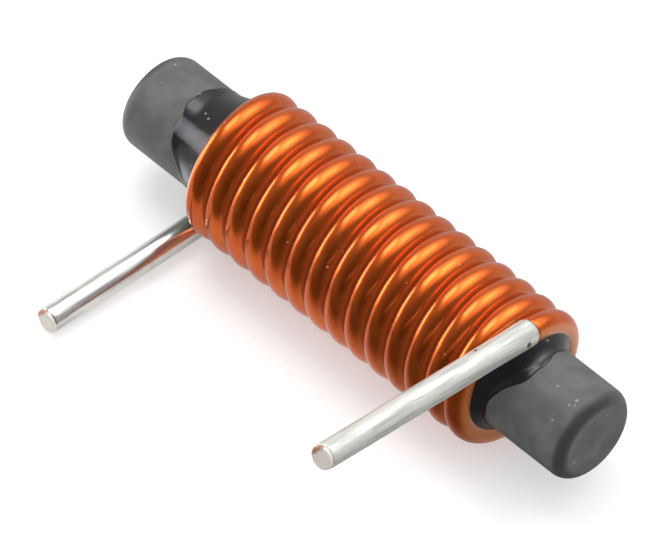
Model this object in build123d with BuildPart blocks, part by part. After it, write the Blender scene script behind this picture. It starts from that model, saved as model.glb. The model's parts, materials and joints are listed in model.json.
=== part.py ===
"""Wirewound rod inductor: a ferrite rod in a close-wound coil of enamelled copper wire.

It lies on its coil with both leads pointing along -Y. X runs along the rod, from the far end to the near
end, and Z is up. The origin is at the middle of the base of the whole part. All sizes are in millimetres.
"""

from build123d import *
from math import cos, radians, sin, tan
import os

# Ferrite rod
rod_diameter = 5.0
rod_length = 29.8
rod_rim_radius = 0.8

# Magnet wire
bare_diameter = 1.25
enamel_thickness = 0.03

# Coil: one close-wound, right-handed layer, from the far lead under the rod to the near lead over it
whole_turns = 14  # and half a turn more, so the leads leave one side, one under the rod and one over it
turn_clearance = 0.023  # what the pitch leaves between neighbouring turns
winding_clearance = 0.09  # between the rod and the inside of the coil
coil_offset = 0.23  # from the middle of the rod to the middle of the coil
bend_angle = 8.0  # the stretch of coil, at each end, over which the wire is bent away into its lead

# Leads: angles of rise from the table and of skew towards +X, both measured from -Y
near_rise = 14.0
near_skew = 2.6
near_reach = 13.8  # along Y, from the rod's axis to the middle of the cut tip
far_rise = 0.0
far_skew = -4.4
far_reach = 11.57

# Solder skin on the stripped leads
enamelled_stub = 0.24  # straight wire that keeps its enamel, from the end of the bend
near_tinning = 0.035
far_tinning = 0.015
strip_gap = 0.06  # bare ring between the cut edge of the enamel and the solder
bare_tip = 0.1  # copper left bare at the cut tip
tip_radius = 0.08  # rounded rim of the cut tip

# Adhesive beads: from the edge inwards, a thin film, a hollow fillet, and a crest against the end turn
crest_height = 0.55  # over the rod
film_thickness = 0.05
near_edge = 0.75  # along the rod, from the middle of the wire where the lead leaves the coil
near_film = 0.1
near_fillet = 0.7
near_lean = (12, 10)  # degrees by which the edge leans out on top and at the back
far_edge = 2.05
far_film = 1.3
far_fillet = 0.5
far_lean = (5, 3)

# Worked out from the sizes above
rod_radius = rod_diameter / 2
bare_radius = bare_diameter / 2
wire_radius = bare_radius + enamel_thickness
coil_radius = rod_radius + winding_clearance + wire_radius
pitch = 2 * wire_radius + turn_clearance
turns = whole_turns + 0.5
far_wire_x = coil_offset - turns * pitch / 2
near_wire_x = coil_offset + turns * pitch / 2

# The coil lies on the table, and the part's depth runs from the near lead's tip to the back of the coil.
axis_z = coil_radius + wire_radius
near_tip_half_depth = (bare_radius - tip_radius) * sin(radians(near_rise))
axis_y = (near_reach + near_tip_half_depth - axis_z) / 2
rod_middle = Vector(0, axis_y, axis_z)


def lead_direction(rise, skew):
    """Unit vector along a lead, from the coil to the cut tip."""
    level = cos(radians(rise))
    return Vector(level * sin(radians(skew)), -level * cos(radians(skew)), sin(radians(rise)))


def bend_end(start, tangent, direction):
    """End of an arc of the coil's radius that starts along tangent and turns to direction."""
    half_turn = radians(tangent.get_angle(direction)) / 2
    return start + (tangent + direction).normalized() * (2 * coil_radius * sin(half_turn))


# The centre line of the enamelled wire: a helix that starts just past the lowest point of the coil and
# stops just short of where the near lead leaves its top, and from each end a bend and a straight stub.
near_direction = lead_direction(near_rise, near_skew)
far_direction = lead_direction(far_rise, far_skew)
start_angle = bend_angle + far_rise
helix_turns = turns - (near_rise + bend_angle + start_angle) / 360
helix_frame = Plane(
    origin=rod_middle + Vector(far_wire_x + pitch * start_angle / 360, 0, 0),
    x_dir=(0, sin(radians(start_angle)), -cos(radians(start_angle))),
    z_dir=(1, 0, 0),
)
helix = helix_frame.location * Helix(pitch, pitch * helix_turns, coil_radius)

with BuildLine() as coil_path:
    add(helix)
    near_bend = TangentArc(
        helix @ 1, bend_end(helix @ 1, helix % 1, near_direction), tangent=helix % 1
    )
    near_stub = Line(near_bend @ 1, near_bend @ 1 + near_direction * enamelled_stub)
    far_bend = TangentArc(
        helix @ 0, bend_end(helix @ 0, -(helix % 0), far_direction), tangent=-(helix % 0)
    )
    far_stub = Line(far_bend @ 1, far_bend @ 1 + far_direction * enamelled_stub)

# Each stripped lead starts at the cut edge of the enamel, on a plane whose normal runs along the lead.
near_lead = Plane(origin=near_stub @ 1, z_dir=near_direction)
far_lead = Plane(origin=far_stub @ 1, z_dir=far_direction)
near_length = (near_lead.origin.Y - axis_y + near_reach) / -near_direction.Y
far_length = (far_lead.origin.Y - axis_y + far_reach) / -far_direction.Y

os.makedirs("parts", exist_ok=True)

# The rod is pressed and fired in one piece, with both rims rounded.
with BuildPart() as ferrite_rod:
    with BuildSketch(Plane.YZ.offset(-rod_length / 2)):
        with Locations((axis_y, axis_z)):
            Circle(rod_radius)
    extrude(amount=rod_length)
    fillet(ferrite_rod.edges().filter_by(GeomType.CIRCLE), rod_rim_radius)
ferrite_rod.part.label = "ferrite_rod"
export_step(ferrite_rod.part, "parts/ferrite_rod.step")

# One length of wire: enamelled round the coil and its bends, stripped to the copper on both leads.
with BuildPart() as winding_wire:
    with BuildSketch(near_lead):
        Circle(wire_radius)
    sweep(path=coil_path.line, is_frenet=True)
    for lead, length in ((near_lead, near_length), (far_lead, far_length)):
        with BuildSketch(lead):
            Circle(bare_radius)
        extrude(amount=length)
        rims = winding_wire.edges().filter_by(GeomType.CIRCLE)
        fillet(rims.sort_by_distance(lead.offset(length).origin)[0], tip_radius)
winding_wire.part.label = "winding_wire"
export_step(winding_wire.part, "parts/winding_wire.step")

# The solder skins fit the bare copper, from just past the enamel to just short of the tip.
with BuildPart() as lead_tinning_near:
    with BuildSketch(near_lead.offset(strip_gap)):
        Circle(bare_radius + near_tinning)
        Circle(bare_radius, mode=Mode.SUBTRACT)
    extrude(amount=near_length - strip_gap - bare_tip)
lead_tinning_near.part.label = "lead_tinning_near"
export_step(lead_tinning_near.part, "parts/lead_tinning_near.step")

with BuildPart() as lead_tinning_far:
    with BuildSketch(far_lead.offset(strip_gap)):
        Circle(bare_radius + far_tinning)
        Circle(bare_radius, mode=Mode.SUBTRACT)
    extrude(amount=far_length - strip_gap - bare_tip)
lead_tinning_far.part.label = "lead_tinning_far"
export_step(lead_tinning_far.part, "parts/lead_tinning_far.step")


def bead_blank(edge_x, outward, edge, film_run, fillet_run, lean):
    """A bead before the other pieces take their room in it, from its edge to half a pitch into the coil.

    Its section is turned about the rod's axis, then the ring is sheared along the rod to make it lean.
    """
    edge_start = rod_radius + film_thickness
    crest_radius = rod_radius + crest_height
    crest_end = film_run + fillet_run
    inner_end = edge + pitch / 2
    with BuildSketch(Plane.XZ, mode=Mode.PRIVATE) as section:
        with BuildLine():
            rim = Line((0, 0), (0, edge_start))
            film = Line(rim @ 1, (-outward * film_run, edge_start))
            hollow = TangentArc(film @ 1, (-outward * crest_end, crest_radius), tangent=(-outward, 0))
            crest = Line(hollow @ 1, (-outward * inner_end, crest_radius))
            Polyline(crest @ 1, (-outward * inner_end, 0), rim @ 0)
        make_face()
    lean_top, lean_back = (outward * tan(radians(angle)) for angle in lean)
    shear = Matrix([[1, lean_back, lean_top, 0], [0, 1, 0, 0], [0, 0, 1, 0]])
    ring = revolve(section.sketch, axis=Axis.X, mode=Mode.PRIVATE).transform_geometry(shear)
    return Location(rod_middle + Vector(edge_x, 0, 0)) * ring


# The rod, the wire and the solder take their room in the beads, which seat on all three.
with BuildPart() as adhesive_bead_near:
    add(bead_blank(near_wire_x + near_edge, 1, near_edge, near_film, near_fillet, near_lean))
    for piece in (ferrite_rod, winding_wire, lead_tinning_near):
        add(piece.part, mode=Mode.SUBTRACT)
adhesive_bead_near.part.label = "adhesive_bead_near"
export_step(adhesive_bead_near.part, "parts/adhesive_bead_near.step")

with BuildPart() as adhesive_bead_far:
    add(bead_blank(far_wire_x - far_edge, -1, far_edge, far_film, far_fillet, far_lean))
    for piece in (ferrite_rod, winding_wire, lead_tinning_far):
        add(piece.part, mode=Mode.SUBTRACT)
adhesive_bead_far.part.label = "adhesive_bead_far"
export_step(adhesive_bead_far.part, "parts/adhesive_bead_far.step")
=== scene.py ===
# %% [markdown]
# # A wirewound rod inductor
#
# The part is a ferrite rod with one close layer of enamelled copper wire wound on it. The two ends of
# the wire leave the coil as stiff, tinned leads, and black adhesive holds the coil at both ends.
#
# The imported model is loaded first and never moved. Every piece below is made round it, in metres.

# %% Load the frame
import json
from math import ceil, cos, pi, radians, sin, sqrt

import bmesh
import bpy
import numpy as np
from mathutils import Matrix, Vector


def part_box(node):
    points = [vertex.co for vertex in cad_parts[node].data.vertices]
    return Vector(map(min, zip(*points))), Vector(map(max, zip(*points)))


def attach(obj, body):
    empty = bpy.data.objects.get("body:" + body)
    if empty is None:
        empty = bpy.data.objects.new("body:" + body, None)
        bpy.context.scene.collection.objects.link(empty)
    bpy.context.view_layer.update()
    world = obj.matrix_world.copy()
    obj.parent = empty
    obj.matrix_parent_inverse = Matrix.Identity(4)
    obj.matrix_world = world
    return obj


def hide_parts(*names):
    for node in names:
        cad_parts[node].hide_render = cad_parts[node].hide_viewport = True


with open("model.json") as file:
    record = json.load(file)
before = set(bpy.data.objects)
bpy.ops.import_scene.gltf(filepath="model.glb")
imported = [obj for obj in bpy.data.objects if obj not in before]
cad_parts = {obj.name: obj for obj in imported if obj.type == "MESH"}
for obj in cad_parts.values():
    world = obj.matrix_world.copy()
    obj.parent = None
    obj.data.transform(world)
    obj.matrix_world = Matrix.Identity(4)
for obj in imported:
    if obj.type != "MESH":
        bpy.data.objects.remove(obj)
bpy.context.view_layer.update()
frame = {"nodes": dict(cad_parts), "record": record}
print("nodes:", sorted(frame["nodes"]))

# %% [markdown]
# ## Sizes
#
# Places come from the frame: the rod's box gives its axis, and the record gives the direction of each
# lead. The wire's own sizes are written once here, as a coil winder would state them. Meshes are in
# metres and finishes in millimetres, so the middle of the rod is kept in both.

# %% Sizes of the rod, the wire and the coil
MM = 0.001

rod_low, rod_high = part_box("ferrite_rod")
rod_centre = (rod_low + rod_high) / 2
rod_middle = tuple(rod_centre / MM)
rod_radius = (rod_high.z - rod_low.z) / 2
rod_half_length = rod_centre.x - rod_low.x
rim_radius = 0.8 * MM

bare_radius = 0.625 * MM
enamel_thickness = 0.03 * MM
rod_to_coil_gap = 0.09 * MM
gap_between_turns = 0.023 * MM
wire_radius = bare_radius + enamel_thickness
coil_radius = rod_radius + rod_to_coil_gap + wire_radius
pitch = 2 * wire_radius + gap_between_turns
turns = 14.5
coil_middle_x = 0.23 * MM
far_x = coil_middle_x - turns * pitch / 2
print("coil radius %.3f mm, pitch %.3f mm" % (coil_radius / MM, pitch / MM))

# %% [markdown]
# ## The camera
#
# The object is seen from the near end, the leads' side and above, through a very long lens, so that
# the rod hardly tapers. The camera is turned by three directions that are square to each other: right,
# up, and back towards the camera. A matrix whose columns they are is the camera's rotation.

# %% Place the camera
camera_turn = radians(45.42)
camera_height = radians(50.40)
camera_distance = 833 * MM
width_seen = 31.43 * MM
aim_right = -1.896 * MM
aim_up = -0.530 * MM

right = Vector((cos(camera_turn), sin(camera_turn), 0))
towards_camera = Vector(
    (sin(camera_turn) * cos(camera_height), -cos(camera_turn) * cos(camera_height), sin(camera_height))
)
up = towards_camera.cross(right)

camera = bpy.data.objects.new("camera", bpy.data.cameras.new("camera"))
bpy.context.scene.collection.objects.link(camera)
camera.data.lens = camera.data.sensor_width * camera_distance / width_seen
camera.matrix_world = Matrix.Translation(
    rod_centre + aim_right * right + aim_up * up + camera_distance * towards_camera
) @ Matrix((right, up, towards_camera)).transposed().to_4x4()
bpy.context.scene.camera = camera
print("lens %.0f mm" % camera.data.lens)

# %% [markdown]
# ## One helper for every piece
#
# All the pieces are round: a wire, a rod, a skin of solder, a bead of glue. Each can be made as a row
# of rings, joined ring to ring with quads and closed at both ends with a fan. One helper does that for
# all of them, and the pieces differ only in their rings.
#
# It also writes two UV maps. "along" holds the distance along the piece in millimetres and the share
# of the way round it, which the finishes use. "OFBake" lays the same strip out in rows that fill a
# square, as a tailor lays a long ribbon on a table, and is there for textures baked later.

# %% Join rings into a piece
def ring_piece(name, rings, finish, node):
    """A closed mesh from rings of points, shaped (rings, points in a ring, 3), in metres."""
    rings = np.asarray(rings, float)
    sides = rings.shape[1]
    ends = [np.repeat(rings[i].mean(0)[None, None], sides, 1) for i in (0, -1)]
    closed = np.concatenate([ends[0], rings, ends[1]])
    last = len(closed) - 1
    steps = np.linalg.norm(np.diff(closed, axis=0), axis=2).mean(1) / MM
    along = np.concatenate([[0], np.cumsum(steps)])
    girth = np.linalg.norm(np.roll(rings, 1, 1) - rings, axis=2).sum(1).max() / MM
    rows = max(1, round(sqrt(along[-1] / girth)))
    bands_in_row = ceil(last / rows)
    row_starts = along[range(0, last, bands_in_row)]
    longest_row = np.diff(np.append(row_starts, along[-1])).max()
    end_margin, row_margin = 0.003, 0.01

    def vertex(ring, side):
        return {0: 0, last: rings.size // 3 + 1}.get(ring, 1 + (ring - 1) * sides + int(side) % sides)

    faces, strip_map, bake_map = [], [], []
    for ring in range(last):
        row = ring // bands_in_row
        for side in range(sides):
            low = [(ring, side), (ring, side + 1)]
            high = [(ring + 1, side + 1), (ring + 1, side)]
            if ring == 0:
                low = [(ring, side + 0.5)]
            if ring + 1 == last:
                high = [(ring + 1, side + 0.5)]
            faces.append([vertex(*corner) for corner in low + high])
            for corner_ring, corner_side in low + high:
                share = corner_side / sides
                strip_map.append((along[corner_ring], share))
                in_row = (along[corner_ring] - row_starts[row]) / longest_row
                in_row = end_margin + (1 - 2 * end_margin) * in_row
                across = (row + row_margin + (1 - 2 * row_margin) * share) / len(row_starts)
                bake_map.append((in_row, across))

    mesh = bpy.data.meshes.new(name)
    points = np.concatenate([ends[0][0, :1], rings.reshape(-1, 3), ends[1][0, :1]])
    mesh.from_pydata(points.tolist(), [], faces)
    for map_name, places in (("along", strip_map), ("OFBake", bake_map)):
        uv_map = mesh.uv_layers.new(name=map_name, do_init=False)
        uv_map.uv.foreach_set("vector", np.ravel(places))
    shell = bmesh.new()
    shell.from_mesh(mesh)
    bmesh.ops.recalc_face_normals(shell, faces=shell.faces)
    shell.to_mesh(mesh)
    shell.free()
    mesh.shade_smooth()
    mesh.materials.append(finish)

    piece = bpy.data.objects.new(name, mesh)
    bpy.context.scene.collection.objects.link(piece)
    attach(piece, "root")
    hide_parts(node)
    print("%s: %d triangles, %.1f mm along" % (name, sum(len(f) - 2 for f in faces), along[-1]))
    return piece


# %% [markdown]
# ## Writing a finish as sums
#
# A finish is a graph of nodes, but it reads more easily as arithmetic. The class Value wraps one output
# of a node, and Python's operators on it add the node for the same sum: numbers use Math nodes, colours
# use Mix nodes and vectors use Vector Math. The reflected forms make 1 - mask work as well as mask - 1.

# %% Values that can be added and multiplied
class Value:
    """One output of a node, which sums can be written with."""

    def __init__(self, finish, socket):
        self.finish = finish
        self.socket = socket

    def joined(self, operation, first, second):
        kinds = [side.socket.type for side in (first, second) if isinstance(side, Value)]
        if "RGBA" in kinds:
            return self.finish.mixed(operation, 1.0, first, second)
        kind = "ShaderNodeVectorMath" if "VECTOR" in kinds else "ShaderNodeMath"
        return self.finish.node(kind, {"operation": operation}, {0: first, 1: second})

    def __add__(self, other):
        return self.joined("ADD", self, other)

    def __radd__(self, other):
        return self.joined("ADD", other, self)

    def __sub__(self, other):
        return self.joined("SUBTRACT", self, other)

    def __rsub__(self, other):
        return self.joined("SUBTRACT", other, self)

    def __mul__(self, other):
        return self.joined("MULTIPLY", self, other)

    def __rmul__(self, other):
        return self.joined("MULTIPLY", other, self)

    def __truediv__(self, other):
        return self.joined("DIVIDE", self, other)

    def __pow__(self, other):
        return self.joined("POWER", self, other)


# %% A finish and its nodes
class Finish:
    """A material that is written as sums. Its shader's constants go on the shader's own sockets."""

    def __init__(self, name, **constants):
        self.material = bpy.data.materials.new(name)
        self.material.use_nodes = True
        self.tree = self.material.node_tree
        self.shader = self.tree.nodes["Principled BSDF"]
        for socket, value in constants.items():
            self.shader.inputs[socket.replace("_", " ")].default_value = value

    def give(self, socket, value):
        """Links a value into a socket, or writes a number or a colour on it."""
        if isinstance(value, Value):
            self.tree.links.new(value.socket, socket)
        elif hasattr(socket.default_value, "__len__"):
            size = len(socket.default_value)
            numbers = list(value) if hasattr(value, "__len__") else [value] * min(size, 3)
            socket.default_value = (numbers + [1.0])[:size] if size == 4 else numbers
        else:
            socket.default_value = value

    def node(self, kind, settings=None, inputs=None, output=0):
        """Any node: its type, its settings, and the values or links of its sockets."""
        made = self.tree.nodes.new(kind)
        for setting, value in (settings or {}).items():
            setattr(made, setting, value)
        for socket, value in (inputs or {}).items():
            self.give(made.inputs[socket], value)
        return Value(self, made.outputs[output])

    def mixed(self, blend, share, first, second):
        """Two colours mixed: share is how much of the second, blended in, the result takes."""
        settings = {"data_type": "RGBA", "blend_type": blend}
        return self.node("ShaderNodeMix", settings, {0: share, 6: first, 7: second}, 2)

    def place(self):
        """Where a point is, in millimetres."""
        return self.node("ShaderNodeTexCoord", output="Object") * 1000.0

    def strip(self, along_scale, round_scale):
        """Where a point is on its strip: millimetres along and the share round, each times a scale."""
        return self.node("ShaderNodeUVMap", {"uv_map": "along"}) * (along_scale, round_scale, 1.0)

    def noise(self, place, scale, detail=2.0, roughness=0.5):
        """Smooth noise from 0 to 1, of so many cells to the unit that place is in."""
        inputs = {"Vector": place, "Scale": scale, "Detail": detail, "Roughness": roughness}
        return self.node("ShaderNodeTexNoise", None, inputs)

    def between(self, value, low, high, out_low=0.0, out_high=1.0):
        """Value's way from low to high, eased, as a number from out_low to out_high."""
        inputs = {0: value, 1: low, 2: high, 3: out_low, 4: out_high}
        return self.node("ShaderNodeMapRange", {"interpolation_type": "SMOOTHSTEP"}, inputs)

    def bumped(self, height, distance, strength=1.0):
        """A normal that is tilted by a height from 0 to 1, which stands for a distance in metres."""
        inputs = {"Height": height, "Distance": distance, "Strength": strength}
        return self.node("ShaderNodeBump", None, inputs)

    def dot(self, value, direction):
        """How far a place lies in a direction."""
        inputs = {0: value, 1: tuple(direction)}
        return self.node("ShaderNodeVectorMath", {"operation": "DOT_PRODUCT"}, inputs, 1)

    def length(self, value):
        """How long a vector is."""
        return self.node("ShaderNodeVectorMath", {"operation": "LENGTH"}, {0: value}, 1)

    def spots(self, place, marks, ragged=0.0):
        """1 inside each mark, which is a place and a radius in millimetres, and 0 outside."""
        inside = 0.0
        for mark_place, radius in marks:
            away = self.length(place - tuple(mark_place))
            inside = inside + self.between(away + ragged, 0.35 * radius, radius, 1.0, 0.0)
        return inside

    def rays(self):
        """1 for what the camera sees and 0 for the rest, and the same for what metal and glass show."""
        camera_ray = self.node("ShaderNodeLightPath", output="Is Camera Ray")
        glossy_ray = self.node("ShaderNodeLightPath", output="Is Glossy Ray")
        return camera_ray, glossy_ray + self.node("ShaderNodeLightPath", output="Is Transmission Ray")

    def shade(self, **values):
        """Feeds the shader's sockets."""
        for socket, value in values.items():
            self.give(self.shader.inputs[socket.replace("_", " ")], value)
        print("%s: %d nodes" % (self.material.name, len(self.tree.nodes)))
        return self.material


# %% [markdown]
# ## The wire's middle line
#
# The wire is one length. It leaves the table side of the coil's far end as the far lead, winds fourteen
# and a half turns, and leaves the top of the near end as the near lead. Its middle line is a helix, and
# between the helix and each lead is a short arc of the coil's own radius. The line could be a curve
# object with a bevel, but points with a tangent and an outward direction at each give rings that never
# twist, and they let the surface change along the wire.

# %% Points of the helix and of its two bends
leads = {mount["name"]: Vector(mount["axis"]) for mount in frame["record"]["mounts"][:2]}
near_direction, far_direction = leads["lead_near"], leads["lead_far"]
near_length = 14.799 * MM
far_length = 11.36 * MM
stub_length = 0.24 * MM
bend_angle = radians(8)
near_rise = radians(14)
coil_start = bend_angle
coil_end = turns * 2 * pi - near_rise - bend_angle


def slack(wound):
    """How far the wire lies inside its full radius: no turn is wound quite like the next."""
    return 0.006 * MM * (1 + 0.5 * sin(0.37 * wound + 1.0) + 0.5 * sin(1.13 * wound + 0.4))


def on_coil(wound):
    """A point of the coil and its tangent, by the angle wound from the coil's foot, up the back first."""
    radius = coil_radius - slack(wound)
    along = pitch / (2 * pi)
    y, z = rod_centre.y + radius * sin(wound), rod_centre.z - radius * cos(wound)
    tangent = Vector((along, coil_radius * cos(wound), coil_radius * sin(wound)))
    return Vector((far_x + along * wound, y, z)), tangent.normalized()


def bend_points(start, tangent, direction, count=10):
    """Points and tangents of the arc that turns from tangent to direction, and of the stub after it."""
    turn = tangent.angle(direction)
    inward = (direction - tangent * tangent.dot(direction)).normalized()
    made = []
    for step in range(1, count + 1):
        angle = turn * step / count
        place = start + coil_radius * (sin(angle) * tangent + (1 - cos(angle)) * inward)
        made.append((place, cos(angle) * tangent + sin(angle) * inward))
    bend_end = made[-1][0]
    shares = (0.25, 0.5, 0.75, 1.0)
    return made + [(bend_end + direction * stub_length * share, direction) for share in shares]


steps_in_turn = 120
steps = round((coil_end - coil_start) / (2 * pi) * steps_in_turn)
coil = [on_coil(wound) for wound in np.linspace(coil_start, coil_end, steps)]
coil_foot, foot_tangent = coil[0]
coil_top, top_tangent = coil[-1]
far_end = bend_points(coil_foot, -foot_tangent, far_direction)
near_end = bend_points(coil_top, top_tangent, near_direction)
wire_line = [(place, -tangent) for place, tangent in reversed(far_end)] + coil + near_end
far_start, near_start = wire_line[0][0], wire_line[-1][0]
print("near lead starts at", [round(c / MM, 3) for c in near_start])
print("far lead starts at", [round(c / MM, 3) for c in far_start])


# %% Rings round a line
def rings_round(line, radii, outward, sides=32):
    """A ring round each point of a line. Each ring starts on the side away from outward."""
    around = np.linspace(0, 2 * pi, sides, endpoint=False)
    rings = []
    for (place, tangent), radius in zip(line, radii):
        outward = (outward - tangent * outward.dot(tangent)).normalized()
        sideways = tangent.cross(outward)
        offsets = np.outer(np.sin(around), sideways) - np.outer(np.cos(around), outward)
        rings.append(np.array(place) + offsets * np.reshape(radius, (-1, 1)))
    return rings


# %% [markdown]
# ## The enamelled wire
#
# Enamelled magnet wire is bright copper under a clear amber varnish. The metal mirrors its surroundings
# in copper's colour, made redder by the varnish, and the varnish's own skin adds a faint white gloss at
# a glancing angle. So the finish is a metal with a coat, not an orange plastic. Turn mirrors turn in
# the creases between them, which makes the creases deep red. On top of that the creases are painted a
# little paler and less of a mirror: painted light between the turns. A crease is known by its distance
# from the rod's axis.

# %% The enamel's finish
enamel = Finish("amber_enamel_on_copper", Coat_Weight=0.3, Coat_Roughness=0.14, Coat_IOR=1.5)
place = enamel.place()
thick = enamel.between(enamel.noise(enamel.strip(0.9, 3.0), 1.0, 3.0, 0.55), 0.35, 0.68)
amber = enamel.mixed("MIX", thick, (0.76, 0.136, 0.012), (0.67, 0.102, 0.008))
from_axis = enamel.length((place - rod_middle) * (0.0, 1.0, 1.0))
crease_low, crease_high = ((coil_radius + share * wire_radius) / MM for share in (0.2, 0.8))
# Painted light: the creases are painted paler and less of a mirror, standing in for the glow between the
# turns.
crease_painted_light = enamel.between(from_axis, crease_low, crease_high, 1.0, 0.0)
dust = enamel.between(enamel.noise(place, 3.1, 1.0), 0.765, 0.80)
base = enamel.mixed("MIX", crease_painted_light * 0.8, amber, (0.56, 0.20, 0.06))
base = enamel.mixed("MIX", dust * 0.55, base, (0.85, 0.62, 0.45))
drawn = enamel.noise(enamel.strip(0.35, 26.0), 1.0, 2.0, 0.6)
roughness = enamel.between(drawn, 0.3, 0.7, 0.19, 0.25) + dust * 0.25
ripples = enamel.noise(enamel.strip(0.5, 5.0), 1.0, 2.0, 0.5) * 0.8 + drawn * 0.2
enamel.shade(
    Base_Color=base,
    Roughness=roughness,
    Metallic=0.92 - dust * 0.4 - crease_painted_light * 0.55,
    Normal=enamel.bumped(ripples, 0.012 * MM, 0.12),
)

# %% The enamelled length of the wire
cut_radius = bare_radius - 0.02 * MM
edge_radius = wire_radius - 0.012 * MM
full_radii = [wire_radius] * (len(wire_line) - 2)
wire_radii = [cut_radius, edge_radius, *full_radii, edge_radius, cut_radius]
enamelled_line = [wire_line[0]] + wire_line + [wire_line[-1]]
ring_piece(
    "enamelled_wire",
    rings_round(enamelled_line, wire_radii, Vector((0, 0, -1))),
    enamel.material, "winding_wire",
)

# %% [markdown]
# ## The leads
#
# Both ends of the wire are stripped and dipped in solder, so each lead is a copper core in a thin,
# bright skin. Nippers cut the lead off, which leaves bare copper round the rim and smears solder over
# the face. The core and the skin are two pieces, because they are two metals with an edge between.

# %% The cut copper's finish
def cut_finish(name, start, direction, length):
    """Copper at the rim, on the side the nippers met first, and solder smeared over the rest."""
    copper = Finish(name, Metallic=0.15)
    place = copper.place()
    grain = copper.noise(place, 6.0, 3.0)
    tip = (start + direction * length) / MM
    nippers = Vector((-0.8, 0, 0.6))
    first_met = (nippers - direction * nippers.dot(direction)).normalized()
    side = copper.dot(place - tuple(tip), first_met)
    bare = copper.between(side + (grain - 0.5) * 0.3, 0.30, 0.46)
    smeared = copper.mixed("MIX", copper.between(grain, 0.3, 0.7), (0.90, 0.85, 0.77), (0.78, 0.72, 0.64))
    red = copper.mixed("MIX", copper.between(grain, 0.35, 0.65), (0.62, 0.33, 0.22), (0.46, 0.22, 0.14))
    copper.shade(
        Base_Color=copper.mixed("MIX", bare, smeared, red),
        Roughness=copper.between(grain, 0.3, 0.7, 0.30, 0.48),
        Normal=copper.bumped(grain, 0.02 * MM, 0.4),
    )
    return copper.material


# %% The copper cores
lead_sides = 48
inside_enamel = 0.15 * MM
tip_radius = 0.08 * MM


def lead_rings(start, direction, distances, radii):
    line = [(start + direction * distance, direction) for distance in distances]
    return rings_round(line, radii, Vector((0, 0, 1)), lead_sides)


def core_rings(start, direction, length):
    """From inside the enamel to the cut tip, whose rim is an arc and whose face has rings too."""
    rim = np.linspace(0, pi / 2, 7)
    face_radii = [0.4 * MM, 0.2 * MM, 0.05 * MM]
    distances = [-inside_enamel, *(length - tip_radius * (1 - sin(a)) for a in rim)]
    distances += [length] * len(face_radii)
    radii = [bare_radius, *(bare_radius - tip_radius * (1 - cos(a)) for a in rim), *face_radii]
    return lead_rings(start, direction, distances, radii)


for name, start, direction, length in (
    ("near", near_start, near_direction, near_length),
    ("far", far_start, far_direction, far_length),
):
    rings = core_rings(start, direction, length)
    cut = cut_finish("cut_copper_" + name, start, direction, length)
    ring_piece("copper_core_" + name, rings, cut, "winding_wire")

# %% [markdown]
# ## The solder skins
#
# Molten solder is drawn along the wire as it is dipped, so the skin has fine ridges lengthwise, and it
# gathers at the end where the enamel stops. The ridges are noise that is stretched along the lead: the
# place is split into its part along the lead, which is scaled down, and the rest. The far lead is
# bright and mirrors the coil. The near one is duller, and has two small dark spots painted in its colour.

# %% The solder's finish
def solder_finish(name, direction, metallic, smoothest, roughest, pale, dull, marks=()):
    """Solder with lengthwise ridges. Each mark is a dark spot painted into the colour: its place and its
    radius.
    """
    solder = Finish(name, Metallic=metallic)
    place = solder.place()
    inputs = {0: tuple(direction), "Scale": solder.dot(place, direction)}
    lengthwise = solder.node("ShaderNodeVectorMath", {"operation": "SCALE"}, inputs)
    ridges = solder.noise(place - lengthwise * 0.93, 3.4, 3.0, 0.6)
    fine = solder.noise(place - lengthwise * 0.97, 14.0, 2.0, 0.6)
    clouds = solder.noise(place, 1.1, 3.0, 0.5)
    tone = solder.mixed("MIX", solder.between(ridges, 0.44, 0.60), pale, dull)
    tone = solder.mixed("MIX", solder.between(clouds, 0.55, 0.75, 0.0, 0.5), tone, dull)
    dark = solder.spots(place, marks, (fine - 0.5) * 0.15)
    tone = solder.mixed("MIX", dark, tone, (0.09, 0.085, 0.075))
    uneven = solder.between(ridges * 0.6 + clouds * 0.4, 0.35, 0.65, smoothest, roughest)
    solder.shade(
        Base_Color=tone,
        Roughness=uneven + dark * 0.3,
        Normal=solder.bumped(ridges * 0.85 + fine * 0.15, 0.02 * MM, 0.45),
    )
    return solder.material


# A dark spot is a place on the skin, reached from where the lead starts, and a radius, in millimetres.
dark_spots = [
    (near_start / MM + near_direction * 0.8 + Vector((0.665, 0.046, 0.064)), 0.22),
    (near_start / MM + near_direction * 3.7 + Vector((-0.293, 0.132, 0.581)), 0.13),
]
near_solder = solder_finish(
    "dull_solder", near_direction, metallic=0.45, smoothest=0.38, roughest=0.52,
    pale=(0.79, 0.79, 0.735), dull=(0.56, 0.565, 0.54), marks=dark_spots,
)
far_solder = solder_finish(
    "bright_solder", far_direction, metallic=0.92, smoothest=0.14, roughest=0.26,
    pale=(0.86, 0.86, 0.79), dull=(0.58, 0.57, 0.59),
)

# %% The two skins
strip_gap = 0.06 * MM
bare_tip = 0.1 * MM
sunk_in_copper = 0.01 * MM


def rounded_off(distance, reach):
    """The share of its height that an edge, rounded over a reach, has at a distance from its end."""
    return sqrt(1 - (1 - min(1.0, max(0.0, distance / reach))) ** 2)


def skin_rings(start, direction, length, thickness, gathered, phase):
    """A skin from just past the enamel to just short of the tip: thickest where the solder gathers."""
    skin_end = length - bare_tip
    distances = [strip_gap + (skin_end - strip_gap) * share**1.5 for share in np.linspace(0, 1, 90)]
    around = np.linspace(0, 2 * pi, lead_sides, endpoint=False)
    radii = []
    for distance in distances:
        t = distance / MM
        wave = 0.10 * np.sin(1.3 * t + phase + around) + 0.07 * np.sin(2.9 * t - 2 * around + 2 * phase)
        wave = wave + 0.06 * np.sin(0.7 * t + 3 * around)
        gathering = gathered * np.exp(-(((t - 0.3) / 0.9) ** 2))
        height = thickness * (1 + wave * 0.6) + gathering + sunk_in_copper
        height = height * rounded_off(distance - strip_gap, 0.12 * MM)
        height = height * rounded_off(skin_end - distance, 0.08 * MM)
        radii.append(bare_radius - sunk_in_copper + height)
    return lead_rings(start, direction, distances, radii)


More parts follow.
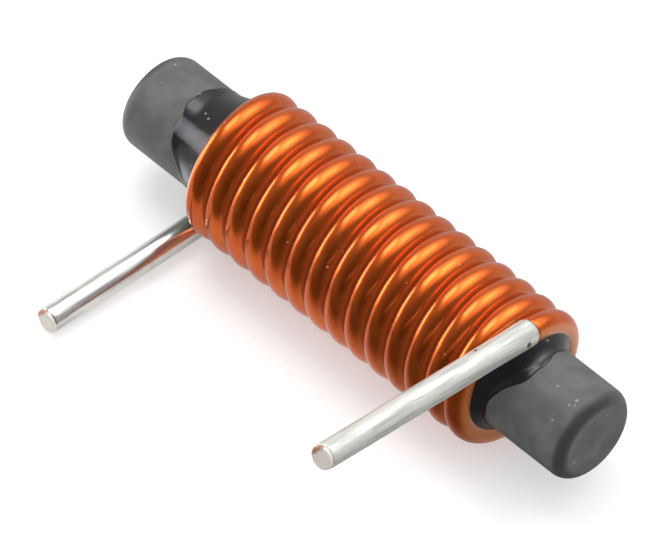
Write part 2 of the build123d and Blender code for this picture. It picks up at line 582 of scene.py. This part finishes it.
near_skin = skin_rings(
    near_start, near_direction, near_length, thickness=0.035 * MM, gathered=0.025 * MM, phase=0.4
)
far_skin = skin_rings(
    far_start, far_direction, far_length, thickness=0.016 * MM, gathered=0.012 * MM, phase=2.1
)
ring_piece("lead_solder_near", near_skin, near_solder, "lead_tinning_near")
ring_piece("lead_solder_far", far_skin, far_solder, "lead_tinning_far")

# %% [markdown]
# ## The ferrite rod
#
# Ferrite is a ceramic, pressed from powder and fired: dark grey, dull, and faintly mottled, with the
# odd pale speck of grinding dust and a few pale scuffs. Its rounded rims are smoother than the rest,
# and they carry painted shade: they are painted near black, most of all on the side that faces up and
# towards the camera. A lathe profile gives it the same rims as the real one. The flat ends take rings
# too, so that the fan which closes them is tiny.

# %% The ferrite's finish
def on_rod(along, degrees, height=0.0):
    """A place on the rod, in millimetres from its middle, at an angle from the top, back positive."""
    angle = radians(degrees)
    radius = rod_radius / MM + height
    return rod_centre / MM + Vector((along, radius * sin(angle), radius * cos(angle)))


ferrite = Finish("fired_ferrite", Metallic=0.0, IOR=1.5)
place = ferrite.place()
mottle = ferrite.noise(place, 0.9, 4.0, 0.6)
grit = ferrite.noise(place, 9.0, 3.0, 0.7)
smudge = ferrite.between(ferrite.noise(place, 0.45, 2.0), 0.45, 0.7)
paler = ferrite.between(mottle, 0.35, 0.66)
tone = ferrite.mixed("MIX", paler, (0.105, 0.105, 0.102), (0.136, 0.136, 0.132))
tone = ferrite.mixed("MIX", smudge * 0.35, tone, (0.175, 0.175, 0.170))
specks = ferrite.between(ferrite.noise(place, 2.4, 1.0), 0.775, 0.80)
scuffs = [
    (on_rod(13.92, -9), 0.11),
    (on_rod(13.8, -18), 0.08),
    (on_rod(12.65, -9), 0.08),
    (on_rod(13.6, -42), 0.07),
]
specks = specks + ferrite.spots(place, scuffs, (grit - 0.5) * 0.12)
tone = ferrite.mixed("MIX", specks * 0.7, tone, (0.45, 0.45, 0.44))
from_middle = place - rod_middle
from_axis = ferrite.length(from_middle * (0.0, 1.0, 1.0))
from_end = rod_half_length / MM - ferrite.length(from_middle * (1.0, 0.0, 0.0))
past_rim = (from_axis - (rod_radius - rim_radius) / MM - from_end) / (rim_radius / MM)
# Painted shade: the rims are painted near black, most on the side that faces up and towards the camera.
towards_camera_side = ferrite.dot(from_middle, (0.0, -0.6, 0.8))
rim = ferrite.between(past_rim, 0.16, 0.41) * ferrite.between(towards_camera_side, -1.2, 1.8, 0.25, 1.0)
ferrite.shade(
    Base_Color=ferrite.mixed("MIX", rim * 0.85, tone, (0.030, 0.030, 0.030)),
    Roughness=ferrite.between(mottle * 0.5 + grit * 0.5, 0.3, 0.7, 0.58, 0.70) - rim * 0.25,
    Normal=ferrite.bumped(grit * 0.7 + mottle * 0.3, 0.03 * MM, 0.35),
)

# %% The rod
def ring_on_axis(angles, x, radius):
    """A ring round the rod's axis. Its place along the rod and its radius may change with the angle."""
    y, z = rod_centre.y + radius * np.sin(angles), rod_centre.z + radius * np.cos(angles)
    return np.stack([x + 0 * angles, y, z], 1)


half_profile = [(rod_half_length, r * MM) for r in (0.1, 0.6, 1.1, 1.5)]
half_profile += [
    (rod_half_length - rim_radius * (1 - cos(a)), rod_radius - rim_radius * (1 - sin(a)))
    for a in np.linspace(0, pi / 2, 16)
]
half_profile += [(x * MM, rod_radius) for x in (13.0, 11.5, 10.0, 6.0, 2.0)]
profile = [(-x, r) for x, r in half_profile] + half_profile[::-1]
rod_angles = pi - np.linspace(0, 2 * pi, 128, endpoint=False)
rod_rings = [ring_on_axis(rod_angles, x, r) for x, r in profile]
ring_piece("rod_of_ferrite", rod_rings, ferrite.material, "ferrite_rod")

# %% [markdown]
# ## The adhesive
#
# The glue was put on wet. It fills the corner between the rod and the end turn, climbs the wire, and
# spreads a little way out along the rod before it sets, so its edge wanders. Each bead is a set of
# rings whose section changes round the rod: a thin film, a hollow rise, and a crest against the wire.
# A few sizes given at angles from the top, towards the back as positive, give its outline.
#
# It dried black and glossy, and a few specks of dust stuck to it. At the far end a pale lilac streak
# along the rod is painted into its colour: a painted highlight.

# %% Sizes that change round the rod
around_degrees = np.linspace(-180, 180, 144, endpoint=False)
bead_angles = np.radians(around_degrees)


def round_the_rod(sizes):
    """Sizes at angles, in millimetres, smoothed into one size for each of the angles above."""
    raw = np.interp(around_degrees, list(sizes), list(sizes.values()), period=360)
    reach, spread = 9, 3.2
    kernel = np.exp(-0.5 * (np.arange(-reach, reach + 1) / spread) ** 2)
    ring = np.concatenate([raw[-reach:], raw, raw[:reach]])
    return np.convolve(ring, kernel / kernel.sum(), "valid") * MM


def ripple(height, count, phase):
    return height * np.sin(bead_angles * count + phase)


# %% The rings of a bead
sunk_in_rod = -0.06 * MM
into_wire = 0.45 * MM
edge_rounding = ((0.01 * MM, 0.5), (0.035 * MM, 0.85), (0.08 * MM, 1.0))


def bead_rings(outward, edge, flank, rise, crest, film, hollow):
    """Rings from the bead's outer edge, over its crest, and down under the wire.

    Sizes are heights over the rod and places along it. Hollow bends the rise: 1 is straight.
    """
    section = [(edge, sunk_in_rod), (edge, 0.1 * film)]
    section += [(edge - outward * inset, share * film) for inset, share in edge_rounding]
    film_start, foot = section[-1][0], flank + outward * rise
    for share in np.linspace(0, 1, 8)[1:]:
        section.append((film_start + (foot - film_start) * share, film))
    for share in np.linspace(0, 1, 18)[1:]:
        section.append((foot - outward * rise * share, film + (crest - film) * share**hollow))
    section += [(flank - outward * into_wire * share, crest) for share in (0.3, 0.7, 1.0)]
    section += [(flank - outward * into_wire, sunk_in_rod)]
    return [ring_on_axis(bead_angles, x, rod_radius + height) for x, height in section]


# %% The adhesive's finish
glue = Finish("black_adhesive", Metallic=0.0, IOR=1.5)
place = glue.place()
skin = glue.noise(place, 1.3, 2.0, 0.5)
from_middle = place - rod_middle
# Painted highlight: a pale lilac streak along the far bead, at one angle round the rod.
streak_angle = radians(38.5)
beside_streak = glue.dot(from_middle, (0, -cos(streak_angle), -sin(streak_angle)))
above_streak = glue.dot(from_middle, (-0.5, -0.5 * sin(streak_angle), 0.5 * cos(streak_angle)))
streak_painted_highlight = glue.between(beside_streak * beside_streak + (skin - 0.5) * 0.25, -0.05, 0.30, 1.0, 0.0)
streak_painted_highlight = streak_painted_highlight * glue.between(above_streak, 4.0, 5.0)
stuck_dust = [
    (on_rod(-10.75, -12, height=0.14), 0.08),
    (on_rod(-10.4, -15, height=0.23), 0.09),
    (on_rod(-11.85, 3, height=0.03), 0.08),
]
dust = glue.between(glue.noise(place, 3.4, 1.0), 0.77, 0.79) + glue.spots(place, stuck_dust)
black = glue.mixed("MIX", streak_painted_highlight * 0.8, (0.010, 0.0095, 0.011), (0.20, 0.195, 0.215))
glue.shade(
    Base_Color=glue.mixed("MIX", dust * 0.7, black, (0.5, 0.5, 0.5)),
    Roughness=glue.between(skin, 0.3, 0.7, 0.15, 0.25) + (dust + streak_painted_highlight) * 0.3,
    Normal=glue.bumped(skin, 0.06 * MM, 0.12),
)

# %% The two beads
near_edge = round_the_rod({
    -120: 9.95, -90: 10.0, -60: 10.2, -45: 10.7, -30: 11.3, 0: 11.45, 30: 11.05, 60: 11.0, 100: 10.7,
    140: 10.3, 180: 10.1,
})
near_flank = round_the_rod({
    -150: 9.6, -90: 9.5, -60: 9.45, -40: 9.8, -20: 10.35, 0: 10.5, 90: 10.16, 180: 9.83,
})
near_bead = bead_rings(
    outward=1,
    edge=near_edge + ripple(0.03 * MM, 11, 0.3),
    flank=near_flank,
    rise=round_the_rod({-120: 0.30, -90: 0.35, -60: 0.5, -20: 0.65, 0: 0.7, 90: 0.55, 180: 0.25}),
    crest=round_the_rod({-120: 0.52, -60: 0.55, 0: 0.56, 40: 0.60, 90: 0.55, 180: 0.45})
    + ripple(0.02 * MM, 7, 1.0),
    film=0.045 * MM,
    hollow=1.9,
)
ring_piece("glue_bead_near", near_bead, glue.material, "adhesive_bead_near")

far_edge = round_the_rod({
    -150: -10.5, -110: -10.5, -90: -10.6, -75: -10.9, -65: -11.4, -55: -11.65, -44: -11.55, -36: -11.5,
    -26: -11.75, -20: -11.9, 3: -11.9, 20: -11.75, 60: -11.5, 100: -11.1, 180: -10.6,
})
far_bead = bead_rings(
    outward=-1,
    edge=far_edge + ripple(0.03 * MM, 13, 2.0),
    flank=round_the_rod({-150: -9.6, -120: -9.2, -90: -9.05, 0: -9.37, 90: -9.7, 170: -10.0}),
    rise=round_the_rod({-120: 0.8, -90: 1.2, -60: 1.9, 0: 1.9, 60: 1.5, 90: 1.0, 180: 0.4}),
    crest=round_the_rod({-90: 0.5, 0: 0.55, 90: 0.55, 180: 0.5}) + ripple(0.02 * MM, 8, 0.2),
    film=0.03 * MM,
    hollow=1.25,
)
ring_piece("glue_bead_far", far_bead, glue.material, "adhesive_bead_far")

# %% [markdown]
# ## The studio
#
# The object stands on pale, faintly glossy acrylic between pale walls, with three soft boxes: one high
# on the left, one high at the back and one low on the left. The camera's side of the room is dark. A
# polished wire is a mirror, so it is the room, more than any lamp's strength, that draws its bands of
# light and dark.
#
# What the walls and the floor show depends on the kind of ray that meets them. The camera sees them
# white, apart from the object's soft shadow. Metal and gloss mirror the room. Dull surfaces, such as
# the ferrite, are lit at a plain level, a little stronger from the near end, as in a light tent. For
# other rays than the camera's the floor glows: painted light, brightest near the coil, with a painted
# reflection of the low soft box in what metal sees.

# %% Directions in the room
def direction_to(turn, height):
    """A direction by its turn from -Y towards +X and its height over the floor, in degrees."""
    turn, height = radians(turn), radians(height)
    return Vector((sin(turn) * cos(height), -cos(turn) * cos(height), sin(height)))


# %% The walls
class Room(Finish):
    """The world, written as sums in the same way as a finish."""

    def __init__(self, name):
        self.material = bpy.data.worlds.new(name)
        self.material.use_nodes = True
        self.tree = self.material.node_tree
        self.shader = self.tree.nodes["Background"]


room = Room("pale_room")
bpy.context.scene.world = room.material
looking = room.node("ShaderNodeTexCoord", output="Generated")


def facing(turn, height):
    return room.dot(looking, direction_to(turn, height))


away_from_camera = (1 - facing(38, 8)) * 0.5
walls = 0.05 + 0.64 * away_from_camera**0.9
ceiling = room.between(facing(-150, 74), cos(radians(42)), cos(radians(8)))
halo = 1.25 * room.between(facing(170, 51), cos(radians(44)), cos(radians(4)))
plain_level = 0.75 + 0.4 * facing(85, 5)
camera_ray, mirror_ray = room.rays()
dull_ray = 1 - camera_ray - mirror_ray
strength = camera_ray + mirror_ray * (walls + ceiling + halo) + dull_ray * plain_level
room.shade(Color=(1.0, 1.0, 1.0), Strength=strength)

# %% The floor
floor_finish = Finish("pale_acrylic", Metallic=0.0, Roughness=0.35, Specular_IOR_Level=0.25)
camera_ray, mirror_ray = floor_finish.rays()
dull_ray = 1 - camera_ray - mirror_ray
from_rod = floor_finish.place() - rod_middle
# Painted light and shade on the floor, for rays other than the camera's: mirror rays see a glow that is
# brightest near the coil and fades towards the camera's side, with a painted reflection of the low soft
# box; dull rays see an even glow; the base colour is painted shade, darker towards the camera's side.
nearer = floor_finish.dot(from_rod, direction_to(38, 0))
shaded = floor_finish.between(nearer, 2.0, 9.0, 0.22, 0.07)
tone = floor_finish.mixed("MIX", camera_ray, shaded, (0.82, 0.82, 0.82))
outward = floor_finish.node("ShaderNodeVectorMath", {"operation": "NORMALIZE"}, {0: from_rod})
towards_box = floor_finish.dot(outward, direction_to(-76, -7))
painted_box_reflection = floor_finish.between(towards_box, cos(radians(13)), cos(radians(3)), 0.0, 1.7)
painted_glow_near_coil = floor_finish.between(nearer, -7.0, 3.0, 0.26, 0.58)
fading = floor_finish.between(nearer, 3.5, 12.0, 0.0, 0.55)
in_metal = painted_glow_near_coil - fading + painted_box_reflection
lit_from_below = camera_ray * 0.35 + mirror_ray * in_metal + dull_ray * 0.45
glow = floor_finish.node("ShaderNodeEmission", None, {"Color": (1, 1, 1), "Strength": lit_from_below})
floor_finish.shade(Base_Color=tone)
surface = Value(floor_finish, floor_finish.shader.outputs[0])
both = floor_finish.node("ShaderNodeAddShader", None, {0: surface, 1: glow})
floor_finish.give(floor_finish.tree.nodes["Material Output"].inputs["Surface"], both)

floor_mesh = bpy.data.meshes.new("floor")
half = 2.0
corners = [(-half, -half, 0), (half, -half, 0), (half, half, 0), (-half, half, 0)]
floor_mesh.from_pydata(corners, [], [(0, 1, 2, 3)])
floor_mesh.materials.append(floor_finish.material)
floor = bpy.data.objects.new("floor", floor_mesh)
bpy.context.scene.collection.objects.link(floor)

# %% The soft boxes
def soft_box(name, turn, height, width, tall, brightness, lean=0.0, distance=0.6):
    """A flat lamp that faces the object and leans about its own axis, in degrees.

    Brightness is what a mirror would show of it.
    """
    lamp = bpy.data.objects.new(name, bpy.data.lights.new(name, "AREA"))
    lamp.data.shape = "RECTANGLE"
    lamp.data.size = width
    lamp.data.size_y = tall
    lamp.data.energy = brightness * pi * width * tall
    back = direction_to(turn, height)
    side = Vector((0, 0, 1)).cross(back).normalized()
    facing_object = Matrix((side, back.cross(side), back)).transposed().to_4x4()
    leaning = Matrix.Rotation(radians(lean), 4, "Z")
    lamp.matrix_world = Matrix.Translation(rod_centre + back * distance) @ facing_object @ leaning
    lamp.visible_camera = False
    bpy.context.scene.collection.objects.link(lamp)
    print("%s: %.2f W" % (name, lamp.data.energy))


soft_box("high_left", turn=-102, height=64, width=0.25, tall=0.35, brightness=3.5)
soft_box("high_back", turn=172, height=52, width=0.32, tall=0.32, brightness=1.5)
soft_box("low_left", turn=-77, height=1, width=0.33, tall=0.40, brightness=4.4, lean=-35)
bpy.context.scene.view_settings.view_transform = "Standard"
